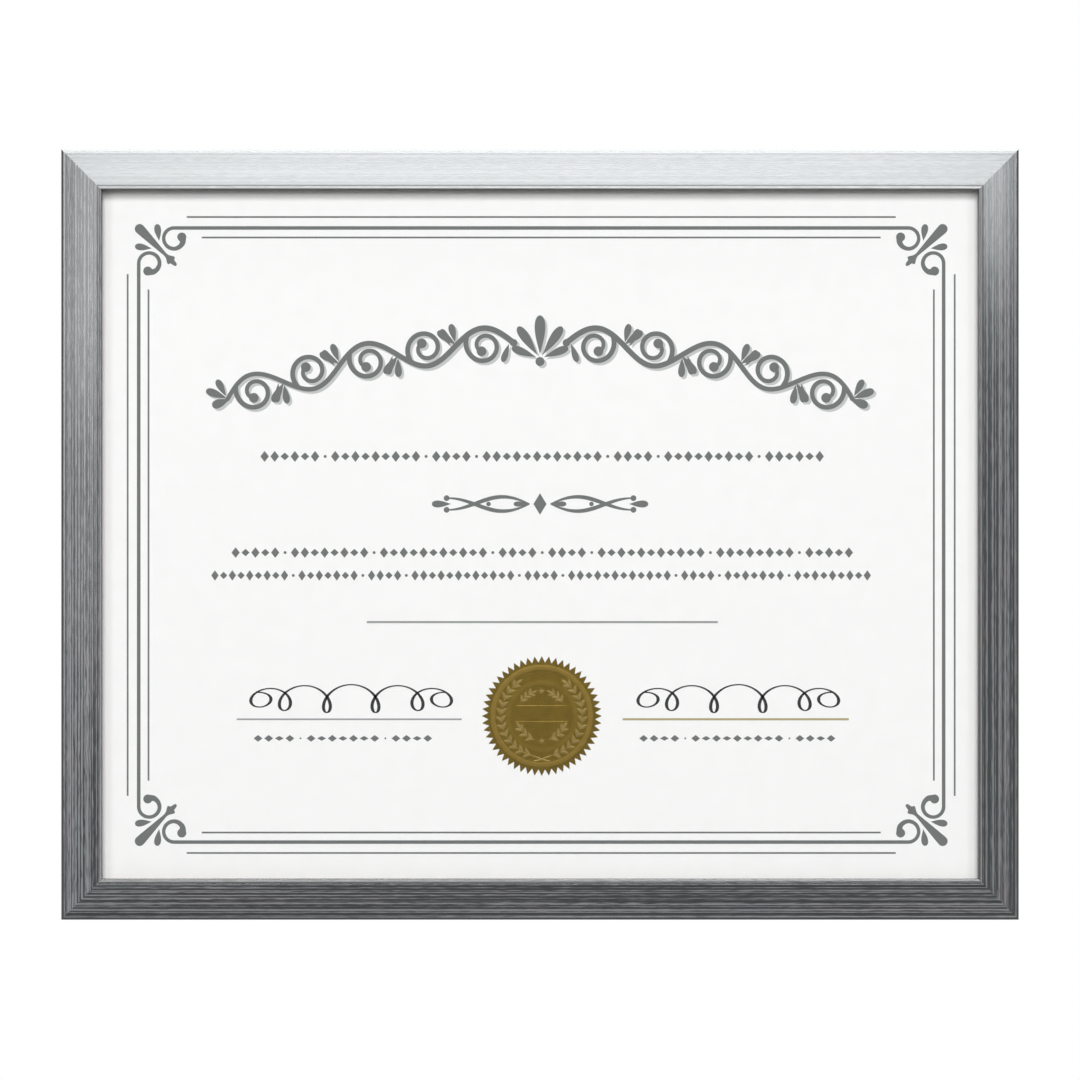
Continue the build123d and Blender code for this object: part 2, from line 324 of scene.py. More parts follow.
def mouldingMaterial(name, upright, seed, depth, beadHighlight):
    m = moulding
    material, tree, shader, place = newMaterial(name, **{"IOR": m["ior"], "Specular Tint": m["gloss"]})
    x, y, z = split(tree, place)
    turned = tree.nodes.new("ShaderNodeCombineXYZ")
    for value, socket in zip((z, y, x) if upright else (x, y, z), turned.inputs):
        feed(tree, value, socket)
    grain = placed(tree, brushedGrain, Vector=turned.outputs[0], Seed=seed)
    tone = fade(tree, grain["Tone"], 0.0, 1.0, 0.5 - 0.5 * depth, 0.5 + 0.5 * depth)
    face = ramp(tree, tone, m["tones"])
    pores = calc(tree, "MULTIPLY", grain["Pores"], m["poreDepth"] * depth)
    face = mixColour(tree, pores, face, m["pore"])
    tint = mixColour(tree, grain["Patches"], m["coolTint"], m["warmTint"])
    face = mixColour(tree, 1.0, face, tint, "MULTIPLY")
    # painted shade lines, then pale lines of wear, painted reflection and painted highlight, along the
    # front by the distance from the outer edge
    rise = calc(tree, "SUBTRACT", z, midZ)
    fromSide = calc(tree, "SUBTRACT", outerW / 2, calc(tree, "ABSOLUTE", x))
    fromEnd = calc(tree, "SUBTRACT", outerH / 2, calc(tree, "ABSOLUTE", rise))
    inset = calc(tree, "MINIMUM", fromSide, fromEnd)
    front = fade(tree, y, *m["frontFade"])
    shade = calc(tree, "MULTIPLY", lineMask(tree, inset, m["shadeLines"]), front)
    face = mixColour(tree, calc(tree, "MULTIPLY", shade, m["shadeDepth"]), face, m["shade"])
    uneven = fade(tree, tone, *m["uneven"])
    # pale lines: near the outer edge worn foil with a painted reflection, on the bead a painted highlight
    for lines, colour in ((m["rubbedSheenLines"], m["rubbedSheen"]), (m["beadHighlightLines"], (beadHighlight, beadHighlight, beadHighlight, 1))):
        bright = calc(tree, "MULTIPLY", lineMask(tree, inset, lines), front)
        face = mixColour(tree, calc(tree, "MULTIPLY", bright, uneven), face, colour)
    # bare board where a face looks back, or inwards behind the lip
    lookX, lookY, lookZ = split(tree, tree.nodes.new("ShaderNodeNewGeometry").outputs["True Normal"])
    outward = calc(tree, "ADD", calc(tree, "MULTIPLY", lookX, x), calc(tree, "MULTIPLY", lookZ, rise))
    inward = calc(tree, "LESS_THAN", outward, m["facesIn"])
    behind = calc(tree, "MULTIPLY", inward, calc(tree, "GREATER_THAN", y, m["bareFrom"]))
    bare = calc(tree, "MAXIMUM", calc(tree, "GREATER_THAN", lookY, m["facesBack"]), behind)
    felt = placed(tree, fibreMat, Vector=place, Scale=m["bareScale"])
    board = mixColour(tree, felt["Fibre"], m["bareBoard"], m["bareDark"])
    feed(tree, mixColour(tree, bare, face, board), shader.inputs["Base Color"])
    shine = fade(tree, grain["Tone"], 0.0, 1.0, *m["roughness"])
    flank = calc(tree, "LESS_THAN", calc(tree, "ABSOLUTE", lookY), m["flank"])
    bareDull = calc(tree, "MULTIPLY", bare, m["bareDull"])
    dull = calc(tree, "MAXIMUM", bareDull, calc(tree, "MULTIPLY", flank, m["flankDull"]))
    feed(tree, calc(tree, "ADD", shine, dull), shader.inputs["Roughness"])
    sunk = calc(tree, "MULTIPLY", grain["Pores"], m["poreDepth"])
    height = calc(tree, "SUBTRACT", grain["Tone"], sunk)
    feed(tree, bumped(tree, height, *m["bump"]), shader.inputs["Normal"])
    return material


# each rail is cut from its own length: where its grain starts; how deep its grain is, low on the top rail,
# standing in for the highlight washing the grain out; how pale the painted highlight on its bead is, palest
# on the top rail that faces the light
rails = {
    "rail_top": {"upright": False, "seed": (0, 0, 0), "depth": 0.4, "beadHighlight": 0.62},
    "rail_bottom": {"upright": False, "seed": (0.7, 0.3, 0.1), "depth": 0.88, "beadHighlight": 0.36},
    "rail_left": {"upright": True, "seed": (0.2, 0.9, 0.4), "depth": 1.15, "beadHighlight": 0.3},
    "rail_right": {"upright": True, "seed": (0.5, 0.1, 0.8), "depth": 0.72, "beadHighlight": 0.22},
}
for name, rail in rails.items():
    dress(mouldingMaterial(name + "_foil", **rail), name)
print("rails dressed")

# certificate card
card = {
    "dark": (0.9, 0.9, 0.895, 1),
    "light": (0.925, 0.925, 0.92, 1),
    "rough": 0.62,
    "scale": 2600.0,
    "bump": (0.06, 0.02 * mm),
}
paper, tree, shader, place = newMaterial("paper", Roughness=card["rough"])
felt = placed(tree, fibreMat, Vector=place, Scale=card["scale"])
feed(tree, mixColour(tree, felt["Cloud"], card["dark"], card["light"]), shader.inputs["Base Color"])
feed(tree, bumped(tree, felt["Fibre"], *card["bump"]), shader.inputs["Normal"])
dress(paper, "certificate")

# boards behind the sheet
boardLook = {"clouds": 0.45, "roughSpread": (-0.08, 0.1), "bump": (0.3, 0.1 * mm)}
boards = {
    "fillerCard": {
        "light": (0.62, 0.58, 0.5, 1),
        "dark": (0.5, 0.46, 0.39, 1),
        "scale": 1400.0,
        "rough": 0.8,
        "on": "filler_card",
    },
    "hardboard": {
        "light": (0.2, 0.115, 0.06, 1),
        "dark": (0.1, 0.055, 0.03, 1),
        "scale": 900.0,
        "rough": 0.7,
        "on": "backing_board",
    },
    "blackPaper": {
        "light": (0.022, 0.022, 0.024, 1),
        "dark": (0.04, 0.04, 0.043, 1),
        "scale": 1800.0,
        "rough": 0.62,
        "on": "easel_leg",
    },
}
for name, board in boards.items():
    material, tree, shader, place = newMaterial(name)
    felt = placed(tree, fibreMat, Vector=place, Scale=board["scale"])
    colour = mixColour(tree, felt["Fibre"], board["light"], board["dark"])
    clouds = fade(tree, felt["Cloud"], 0.0, 1.0, 0.0, boardLook["clouds"])
    feed(tree, mixColour(tree, clouds, colour, board["dark"]), shader.inputs["Base Color"])
    rough = [board["rough"] + spread for spread in boardLook["roughSpread"]]
    feed(tree, fade(tree, felt["Fibre"], 0.0, 1.0, *rough), shader.inputs["Roughness"])
    feed(tree, bumped(tree, felt["Fibre"], *boardLook["bump"]), shader.inputs["Normal"])
    dress(material, board["on"])

# fittings behind
buttonNames = [n for n in nodes if n.startswith("turn_button_") and n != "turn_button_screws"]
metalLook = {
    "dullFade": (0.4, 0.7),
    "wornFade": (0.6, 1.4),
    "roughSpread": (-0.08, 0.2),
    "bump": (0.12, 0.03 * mm),
}
metals = {
    "yellowZinc": {
        "bright": (0.66, 0.52, 0.24),
        "dull": (0.5, 0.42, 0.3),
        "rough": 0.32,
        "on": buttonNames + ["hanger_top", "hanger_side"],
    },
    "brightZinc": {
        "bright": (0.62, 0.63, 0.65),
        "dull": (0.42, 0.43, 0.46),
        "rough": 0.3,
        "on": [
            "corner_v_nails",
            "turn_button_screws",
            "hanger_nails",
            "hinge_fixed_leaf",
            "hinge_moving_leaf",
            "hinge_pin",
        ],
    },
    "aluminium": {
        "bright": (0.76, 0.77, 0.78),
        "dull": (0.6, 0.61, 0.62),
        "rough": 0.36,
        "on": ["fixed_leaf_rivets", "moving_leaf_rivets"],
    },
}


def metalMaterial(name, bright, dull, rough):
    material, tree, shader, place = newMaterial(name, Metallic=1.0)
    rub = placed(tree, metalRub, Vector=place)
    blotches = fade(tree, rub["Blotch"], *metalLook["dullFade"])
    feed(tree, mixColour(tree, blotches, (*bright, 1), (*dull, 1)), shader.inputs["Base Color"])
    worn = calc(tree, "ADD", rub["Streak"], rub["Blotch"])
    ends = [rough + spread for spread in metalLook["roughSpread"]]
    feed(tree, fade(tree, worn, *metalLook["wornFade"], *ends), shader.inputs["Roughness"])
    feed(tree, bumped(tree, rub["Streak"], *metalLook["bump"]), shader.inputs["Normal"])
    return material


for name, metal in metals.items():
    dress(metalMaterial(name, metal["bright"], metal["dull"], metal["rough"]), *metal["on"])

# clear pane: lamps pass it, and it mirrors a little
clearPane = {"rough": 0.02, "mirror": (0.35, 0.35, 0.35, 1), "ior": 1.35}
pane = bpy.data.materials.new("clearPane")
pane.use_nodes = True
tree = pane.node_tree
tree.nodes.clear()
through = tree.nodes.new("ShaderNodeBsdfTransparent")
mirror = tree.nodes.new("ShaderNodeBsdfGlossy")
mirror.inputs["Roughness"].default_value = clearPane["rough"]
mirror.inputs["Color"].default_value = clearPane["mirror"]
edge = tree.nodes.new("ShaderNodeFresnel")
edge.inputs["IOR"].default_value = clearPane["ior"]
facing = calc(tree, "SUBTRACT", 1.0, tree.nodes.new("ShaderNodeNewGeometry").outputs["Backfacing"])
amount = calc(tree, "MULTIPLY", edge.outputs[0], facing)
mixShaders(tree, amount, through, mirror, tree.nodes.new("ShaderNodeOutputMaterial"))
dress(pane, "pane")
print("sheet, boards, fittings and pane dressed")

# print: shapes in millimetres from the sheet's middle, x to the right, z up
inkLook = {
    "levels": 12,
    "levelStep": 0.002,
    "lift": 0.03,
    "sunk": 0.005,  # under the paper's face
    "ballSides": 28,
    "dropSides": 36,
    "dropBelly": 1.3,
    "dropTaper": 1.4,
    "specular": 0.15,
    "scale": 3200.0,
    "worn": (0.84, 0.02),
    "rough": (0.5, 0.62),
}
# crossing shapes never share a plane
inkLevels = cycle([inkLook["levelStep"] * k for k in range(inkLook["levels"])])


def fill(mesh, points):
    level = next(inkLevels)
    mesh.faces.new([mesh.verts.new((x, -level, z)) for x, z in points])


def acrossPath(path, i, width):
    # half the width, along the path at its point i
    before, after = path[max(i - 1, 0)], path[min(i + 1, len(path) - 1)]
    return Vector((after[0] - before[0], after[1] - before[1])).normalized() * width / 2


def stroke(mesh, path, widths):
    level = next(inkLevels)
    rims = []
    for i, (x, z) in enumerate(path):
        run = acrossPath(path, i, widths[i])
        rims.append([mesh.verts.new((x - side * run.y, -level, z + side * run.x)) for side in (1, -1)])
    for (a, b), (c, d) in zip(rims, rims[1:]):
        mesh.faces.new((a, b, d, c))


def ball(mesh, at, radius):
    sides = inkLook["ballSides"]
    turns = [2 * pi * k / sides for k in range(sides)]
    fill(mesh, [(at[0] + radius * cos(t), at[1] + radius * sin(t)) for t in turns])


def drop(mesh, middle, radius, tip):
    # round end about the middle, drawn out to the tip
    away = Vector((tip[0] - middle[0], tip[1] - middle[1]))
    axis = away.normalized()
    half = (away.length + radius) / 2
    centre = Vector(middle) + axis * (half - radius)
    points = []
    for k in range(inkLook["dropSides"]):
        t = 2 * pi * k / inkLook["dropSides"]
        along = cos(t) * half
        across = inkLook["dropBelly"] * radius * sin(t) * sin(t / 2) ** inkLook["dropTaper"]
        x = centre.x + axis.x * along - axis.y * across
        z = centre.y + axis.y * along + axis.x * across
        points.append((x, z))
    fill(mesh, points)


def bar(mesh, start, end, width):
    stroke(mesh, [start, end], [width, width])


def meshObject(name, mesh, at):
    # from millimetres about its own middle to its place
    bmesh.ops.recalc_face_normals(mesh, faces=mesh.faces[:])
    bmesh.ops.scale(mesh, vec=(mm, mm, mm), verts=mesh.verts[:])
    bmesh.ops.translate(mesh, vec=at, verts=mesh.verts[:])
    data = bpy.data.meshes.new(name)
    mesh.to_mesh(data)
    mesh.free()
    return addObject(name, data)


def inkPiece(name, mesh, material, lift=inkLook["lift"]):
    # thickness to just under the paper's face, then into the sheet's place
    sheetFace = bmesh.ops.extrude_face_region(mesh, geom=mesh.faces[:])["geom"]
    for part in sheetFace:
        if isinstance(part, bmesh.types.BMVert):
            part.co.y = lift + inkLook["sunk"]
    piece = meshObject(name, mesh, (midX, paperY - lift * mm, midZ))
    piece.data.materials.append(material)
    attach(piece, "frame")


def inkMaterial(name, colour):
    material, tree, shader, place = newMaterial(name, **{"Specular IOR Level": inkLook["specular"]})
    felt = placed(tree, fibreMat, Vector=place, Scale=inkLook["scale"])
    keep, lighter = inkLook["worn"]
    worn = tuple(c * keep + lighter for c in colour)
    feed(tree, mixColour(tree, felt["Fibre"], (*colour, 1), (*worn, 1)), shader.inputs["Base Color"])
    feed(tree, fade(tree, felt["Fibre"], 0.0, 1.0, *inkLook["rough"]), shader.inputs["Roughness"])
    return material


inks = {
    "greyInk": (0.16, 0.171, 0.168),
    "paleInk": (0.58, 0.6, 0.595),
    "ruleInk": (0.33, 0.345, 0.34),
    "tanInk": (0.45, 0.385, 0.2),
    "blackInk": (0.022, 0.022, 0.024),
}
inks = {name: inkMaterial(name, colour) for name, colour in inks.items()}

# border: thick line between scrolls, thin lines on both sides
border = {
    "middle": (0.47, -0.21),
    "thick": (160.3, 122.3),
    "thickWidth": 1.4,
    "thin": [(164.7, 126.65, 141.2, 103.9), (156.4, 118.5, 135.2, 97.8)],
    "thinWidth": 0.68,
    "clubSides": [
        (1.1, 1.96), (8.0, 1.3), (14.9, 0.62), (15.7, 0.72), (16.5, 1.0), (17.6, 1.72), (18.2, 1.98),
        (18.55, 1.85), (18.75, 1.4), (18.95, 0.98), (19.7, 0.86), (20.6, 0.68), (20.95, 0.5), (21.15, 0.22),
    ],
    "clubBall": (0.55, 1.96),
    "clubArc": (75, 285, 20),  # degrees from and to, steps
    "drop": ((7.46, -0.05), 1.46, (8.15, 5.2)),
    "scroll": {
        "middle": (14.1, 4.15),
        "radii": [(90, 4.15), (270, 4.15), (328, 3.85), (350, 3.5), (370, 3.1)],  # by degrees turned
        "widths": [(90, 1.4), (180, 1.35), (270, 1.55), (315, 1.9), (350, 2.5), (370, 2.9)],
        "steps": 44,
        "ball": 1.8,
    },
}
bx, bz = border["middle"]
halfX, halfZ = border["thick"]


def spread(low, high, steps):
    return [low + (high - low) * k / steps for k in range(steps + 1)]


def between(table, value):
    for (a, p), (b, q) in zip(table, table[1:]):
        if value <= b:
            return p + (q - p) * (value - a) / (b - a)
    return table[-1][1]


def corner(mesh, sx, sz):
    # a runs inwards along x from the thick lines' corner, b inwards along z
    def put(a, b):
        return bx + sx * (halfX - a), bz + sz * (halfZ - b)

    def putDiagonal(u, v):
        return put((u + v) / 2**0.5, (u - v) / 2**0.5)

    centre, radius = border["clubBall"]
    arc = [radians(turn) for turn in spread(*border["clubArc"])]
    rounded = [putDiagonal(centre + radius * cos(t), radius * sin(t)) for t in arc]
    sides = [putDiagonal(u, v) for u, v in border["clubSides"]]
    otherSides = [putDiagonal(u, -v) for u, v in border["clubSides"]]
    fill(mesh, sides[::-1] + rounded + otherSides)
    middle, radius, tip = border["drop"]
    scroll = border["scroll"]
    turns = spread(scroll["radii"][0][0], scroll["radii"][-1][0], scroll["steps"])
    for swap in (False, True):
        def place(a, b):
            return put(b, a) if swap else put(a, b)

        drop(mesh, place(*middle), radius, place(*tip))
        path = []
        for turn in turns:
            r, t = between(scroll["radii"], turn), radians(turn)
            path.append(place(scroll["middle"][0] + r * cos(t), scroll["middle"][1] - r * sin(t)))
        stroke(mesh, path, [between(scroll["widths"], turn) for turn in turns])
        ball(mesh, path[-1], scroll["ball"])


mesh = bmesh.new()
for sx in (1, -1):
    for sz in (1, -1):
        corner(mesh, sx, sz)
reachX = halfX - border["scroll"]["middle"][0]
reachZ = halfZ - border["scroll"]["middle"][0]
for side in (1, -1):
    bar(mesh, (bx - reachX, bz + side * halfZ), (bx + reachX, bz + side * halfZ), border["thickWidth"])
    bar(mesh, (bx + side * halfX, bz - reachZ), (bx + side * halfX, bz + reachZ), border["thickWidth"])
    for atX, atZ, runX, runZ in border["thin"]:
        bar(mesh, (bx - runX, bz + side * atZ), (bx + runX, bz + side * atZ), border["thinWidth"])
        bar(mesh, (bx + side * atX, bz - runZ), (bx + side * atX, bz + runZ), border["thinWidth"])
inkPiece("printed_border", mesh, inks["greyInk"])
print("border printed")

# arched garland of scrolls, with a pale shade beside it
garland = {
    "radius": 348.5,
    "apex": 76.5,
    "first": 10.5,
    "firstBall": 1.5,
    "pitch": 23.4,
    "waves": 5,
    "swing": 6.4,
    "stem": (2.3, 0.25, 150),  # width, part lost towards the end, steps
    "curl": (2.0, 1.5),
    "curlMiddle": (0.5, 0.6),  # parts of a wave, millimetres under the stem
    "curlLeaves": 0.78,  # part of a wave where the curl leaves the stem
    "curlTurn": 455,
    "curlEnd": 2.5,
    "curlPace": 0.75,
    "curlSteps": 48,
    "curlBall": 1.95,
    "leavesAfter": [((5.0, 5.6), 1.7, (-0.4, 0.7)), ((0.6, 7.6), 1.5, (-0.2, 1.5))],
    "leafUnder": ((4.2, -6.2), 1.35, (1.8, -0.2)),
    "endLeaf": ((4.4, 0), 1.9, (-1.2, 0)),
    "palmette": [(0, 15.0, 2.3), (34, 13.5, 2.0), (-34, 13.5, 2.0), (68, 10.5, 1.7), (-68, 10.5, 1.7)],
    "palmetteFoot": (-6.5, 1.6),
    "palmetteBall": (-7.6, 1.8),
    "layers": {
        "garland_shade": {"ink": "paleInk", "lift": 0.012, "aside": (0.9, -0.9)},
        "garland": {"ink": "greyInk", "lift": 0.04, "aside": (0, 0)},
    },
}


def printGarland(mesh, dx, dz):
    g = garland

    def arch(s, t):
        angle = s / g["radius"]
        reach = g["radius"] + t
        return dx + reach * sin(angle), dz + g["apex"] - g["radius"] + reach * cos(angle)

    def wave(s):
        return g["swing"] * sin(pi * (s - g["first"]) / g["pitch"])

    def archDrop(middle, radius, tip):
        drop(mesh, arch(*middle), radius, arch(*tip))

    def archLeaf(leaf, side, up, at):
        (a, b), radius, (c, d) = leaf
        archDrop((side * (at + a), up * b), radius, (side * (at + c), up * d))

    for side in (1, -1):
        end = g["first"] + g["waves"] * g["pitch"]
        width, lost, steps = g["stem"]
        path = [arch(side * s, wave(s)) for s in spread(g["first"], end, steps)]
        stroke(mesh, path, [width * (1 - lost * k / steps) for k in range(steps + 1)])
        for i in range(g["waves"]):
            up = 1 if i % 2 == 0 else -1
            begin = g["first"] + i * g["pitch"]
            middleS, middleT = begin + g["pitch"] * g["curlMiddle"][0], -up * g["curlMiddle"][1]
            leave = begin + g["pitch"] * g["curlLeaves"]
            startAngle = atan2(wave(leave) - middleT, leave - middleS)
            startR = hypot(wave(leave) - middleT, leave - middleS)
            curl = []
            for f in spread(0.0, 1.0, g["curlSteps"]):
                r = startR + (g["curlEnd"] - startR) * f ** g["curlPace"]
                a = startAngle - up * radians(g["curlTurn"]) * f
                curl.append(arch(side * (middleS + r * cos(a)), middleT + r * sin(a)))
            stroke(mesh, curl, spread(*g["curl"], g["curlSteps"]))
            ball(mesh, curl[-1], g["curlBall"])
            for leaf in g["leavesAfter"]:
                archLeaf(leaf, side, up, begin + g["pitch"])
            archLeaf(g["leafUnder"], side, up, begin)
        archLeaf(g["endLeaf"], side, 1, end)
        ball(mesh, arch(side * g["first"], 0), g["firstBall"])
    # palmette in the middle
    foot, inner = g["palmetteFoot"]
    for lean, length, width in g["palmette"]:
        leanX, leanZ = sin(radians(lean)), cos(radians(lean))
        archDrop((leanX * length, foot + leanZ * length), width, (leanX * inner, foot + leanZ * inner))
    at, radius = g["palmetteBall"]
    ball(mesh, arch(0, at), radius)


for name, layer in garland["layers"].items():
    mesh = bmesh.new()
    printGarland(mesh, *layer["aside"])
    inkPiece(name, mesh, inks[layer["ink"]], layer["lift"])
print("garland printed")

# rows of lozenges between dots, in groups
lozenge = {"wide": 0.42, "small": 0.7, "dot": 0.14}  # parts of the pitch and of the height
rows = {
    "first": {"z": 31.1, "from": -111.7, "to": 113.4, "height": 4.4, "groups": (6, 9, 4, 12, 4, 9, 6)},
    "second": {"z": -7.2, "from": -123.2, "to": 125.0, "height": 4.2, "groups": (5, 8, 11, 4, 4, 11, 8, 5)},
    "third": {
        "z": -16.3,
        "from": -131.2,
        "to": 132.1,
        "height": 4.2,
        "groups": (9, 7, 4, 12, 4, 12, 4, 7, 9),
    },
    "leftFoot": {"z": -81.2, "from": -114.4, "to": -42.6, "height": 2.7, "groups": (4, 7, 4)},
    "rightFoot": {"z": -81.2, "from": 39.2, "to": 118.0, "height": 2.7, "groups": (4, 9, 4)},
}


def printLozenge(mesh, x, z, wide, tall):
    fill(mesh, [(x - wide, z), (x, z - tall), (x + wide, z), (x, z + tall)])


mesh = bmesh.new()
for row in rows.values():
    units = sum(row["groups"]) + len(row["groups"]) - 1
    pitch = (row["to"] - row["from"]) / units
    at = row["from"] + pitch / 2
    for g, count in enumerate(row["groups"]):
        for k in range(count):
            large = (k % 2 == 0) == (count % 2 == 1) or k in (0, count - 1)
            tall = row["height"] / 2 * (1.0 if large else lozenge["small"])
            printLozenge(mesh, at, row["z"], pitch * lozenge["wide"], tall)
            at += pitch
        if g < len(row["groups"]) - 1:
            ball(mesh, (at, row["z"]), row["height"] * lozenge["dot"])
            at += pitch
inkPiece("lozenge_rows", mesh, inks["greyInk"])

# divider in the middle: two long leaves from a lozenge
divider = {
    "z": 12.15,
    "lozenge": (2.6, 4.3),
    "from": 4.2,
    "run": 33.0,
    "swing": 3.1,
    "halfWaves": 1.5,
    "lost": 0.25,  # part of the swing lost towards the end
    "width": (0.5, 1.1),
    "steps": 60,
    "endBall": 1.15,
    "drops": [(9.4, 1.1, 4.4), (41.6, 1.5, 35.4)],
    "dot": (20.5, 0.9),
}
mesh = bmesh.new()
z, steps = divider["z"], divider["steps"]
printLozenge(mesh, 0, z, *divider["lozenge"])
for side in (1, -1):
    for up in (1, -1):
        path = []
        for f in spread(0.0, 1.0, steps):
            swing = divider["swing"] * sin(pi * f * divider["halfWaves"]) * (1 - divider["lost"] * f)
            path.append((side * (divider["from"] + divider["run"] * f), z + up * swing))
        thin, more = divider["width"]
        stroke(mesh, path, [thin + more * sin(pi * k / steps) for k in range(steps + 1)])
        ball(mesh, path[-1], divider["endBall"])
    for middle, radius, tip in divider["drops"]:
        drop(mesh, (side * middle, z), radius, (side * tip, z))
    at, radius = divider["dot"]
    ball(mesh, (side * at, z), radius)
inkPiece("divider", mesh, inks["greyInk"])

# ruled lines
rules = {
    "rule_middle": ((-69.0, -34.9), (70.8, -34.9), 0.85, "ruleInk"),
    "rule_left": ((-120.8, -73.6), (-31.2, -73.6), 0.66, "ruleInk"),
    "rule_right": ((32.9, -73.6), (123.0, -73.6), 0.85, "tanInk"),
}
for name, (start, end, width, ink) in rules.items():
    mesh = bmesh.new()
    bar(mesh, start, end, width)
    inkPiece(name, mesh, inks[ink])

# pen knots over the two ruled lines
penKnots = {
    "at": (-75.2, 79.0),
    "z": -65.4,
    "half": 37.5,
    "loops": 12,  # half turns
    "loopReach": 5.2,
    "swing": 5.6,
    "ends": 0.45,  # part of the swing that is left at the ends
    "thin": 0.5,
    "thick": 1.3,
    "steps": 320,
}
mesh = bmesh.new()
for middle in penKnots["at"]:
    path = []
    for t in spread(-pi / 2, pi / 2, penKnots["steps"]):
        x = middle + penKnots["half"] * sin(t) + penKnots["loopReach"] * sin(penKnots["loops"] * t)
        tall = penKnots["ends"] + (1 - penKnots["ends"]) * cos(t)
        path.append((x, penKnots["z"] + penKnots["swing"] * cos(penKnots["loops"] * t) * tall))
    widths = []
    for a, b in zip(path[:1] + path[:-1], path[1:] + path[-1:]):
        slant = abs(atan2(b[1] - a[1], b[0] - a[0]))
        widths.append(penKnots["thin"] + (penKnots["thick"] - penKnots["thin"]) * max(0.0, sin(slant)) ** 2)
    stroke(mesh, path, widths)
inkPiece("pen_knots", mesh, inks["blackInk"])
print("rows, rules and knots printed")

# foil seal, embossed: sizes in millimetres, heights above the paper
seal = {
    "teeth": 52,
    "tip": (23.9, 0.085),
    "valley": (21.3, 0.1),
    "sunk": 0.004,
    "rings": [  # radius, height, tone
        (20.75, 0.105, "sealTeeth"),
        (20.4, 0.13, "sealTeeth"),
        (20.0, 0.155, "sealRingHighlight"),
        (19.4, 0.165, "sealRingHighlight"),
        (18.85, 0.155, "sealRingHighlight"),
        (18.5, 0.135, "sealRingHighlight"),
        (18.2, 0.125, "sealField"),
        (14.3, 0.125, "sealField"),
        (13.8, 0.14, "sealBand"),
        (12.6, 0.14, "sealBand"),
        (12.0, 0.125, "sealField"),
        (6.0, 0.125, "sealField"),
    ],
    # the ring and the relief are painted lighter than the field: a painted highlight of the embossing over
    # their real relief; the band is a little lighter and the teeth a touch darker than the field
    "tones": {  # bright, dull, roughness
        "sealField": ((0.108, 0.073, 0.0115), (0.087, 0.059, 0.009), 0.42),
        "sealRingHighlight": ((0.172, 0.114, 0.0245), (0.14, 0.093, 0.0195), 0.34),
        "sealTeeth": ((0.104, 0.071, 0.0125), (0.084, 0.057, 0.0095), 0.45),
        "sealReliefHighlight": ((0.185, 0.132, 0.042), (0.155, 0.11, 0.033), 0.36),
        "sealBand": ((0.13, 0.088, 0.0155), (0.107, 0.072, 0.012), 0.4),
    },
    "foot": 0.12,  # of the relief, in the field
    "rimSunk": 0.01,
    "crest": 0.06,
    "crestEven": 0.1,  # the ridge is full height where it is nearly full width
    "leaf": {
        "steps": 7,
        "thinnest": 0.06,
        "from": 0.12,
        "run": 0.9,
        "fullness": 0.8,
        "bend": 0.08,
        "spread": 42,
    },
    "stem": {"steps": 24, "width": 0.34, "crest": 0.6},
    "wreath": {"radius": 16.2, "arcs": [(258, 129), (282, 411)], "pairs": 12, "length": 3.3, "width": 1.75},
    "upper": {"radius": 9.9, "arcs": [(150, 116), (30, 64)], "pairs": 3, "length": 2.9, "width": 1.45},
    "lower": {"radius": 9.9, "arcs": [(254, 210), (286, 330)], "pairs": 3, "length": 3.2, "width": 1.6},
    "tie": [(3.6, -15.9, 0.6), (1.2, -16.7, 0.8), (-1.4, -17.7, 0.9), (-3.2, -18.0, 0.8)],  # x, z, width
    "tieCrest": 0.05,
    "stars": [(0, 9.9), (0, -9.9)],
    "starSize": (1.8, 0.42),
    "lines": [(4.1, 10.1), (-2.2, 10.3)],
    "lineWidth": 0.4,
    "lineCrest": 0.03,
}
sealLow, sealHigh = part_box("foil_seal")
mesh = bmesh.new()
steps = seal["teeth"] * 2
slots = {name: slot for slot, name in enumerate(seal["tones"])}


def tinted(corners, tone, smooth=False):
    face = mesh.faces.new(corners)
    face.material_index = slots[tone]
    face.smooth = smooth


def sealRingHighlight(places):
    ring = []
    for k in range(steps):
        radius, height = places[k % len(places)]
        turn = 2 * pi * k / steps
        ring.append(mesh.verts.new((radius * sin(turn), -height, radius * cos(turn))))
    return ring


def joinRings(first, second, tone, smooth=False):
    for k in range(steps):
        n = (k + 1) % steps
        tinted((first[k], second[k], second[n], first[n]), tone, smooth)


teeth = [seal["tip"], seal["valley"]]
under = sealRingHighlight([(radius, -seal["sunk"]) for radius, height in teeth])
outer = sealRingHighlight(teeth)
tinted(under, "sealField")
joinRings(under, outer, "sealTeeth")
for i, (radius, height, tone) in enumerate(seal["rings"]):
    inner = sealRingHighlight([(radius, height)])
    joinRings(outer, inner, tone, smooth=i > 0)  # teeth are flat
    outer = inner
tinted(outer[::-1], "sealField")


def relief(path, widths, crest, tone="sealReliefHighlight"):
    # ridge along a path, sunk at its rims
    ribs = []
    rim = seal["rimSunk"] - seal["foot"]
    for i, (x, z) in enumerate(path):
        run = acrossPath(path, i, widths[i])
        high = seal["foot"] + crest * min(1.0, widths[i] / max(widths) + seal["crestEven"])
        ribs.append((
            mesh.verts.new((x - run.y, rim, z + run.x)),
            mesh.verts.new((x, -high, z)),
            mesh.verts.new((x + run.y, rim, z - run.x)),
        ))
    for (a, b, c), (d, e, f) in zip(ribs, ribs[1:]):
        for quad in ((a, b, e, d), (b, c, f, e), (a, d, f, c)):
            tinted(quad, tone)
    for end in (ribs[0], ribs[-1]):
        tinted(end, tone)


def polar(r, angle):
    return Vector((r * cos(radians(angle)), r * sin(radians(angle))))


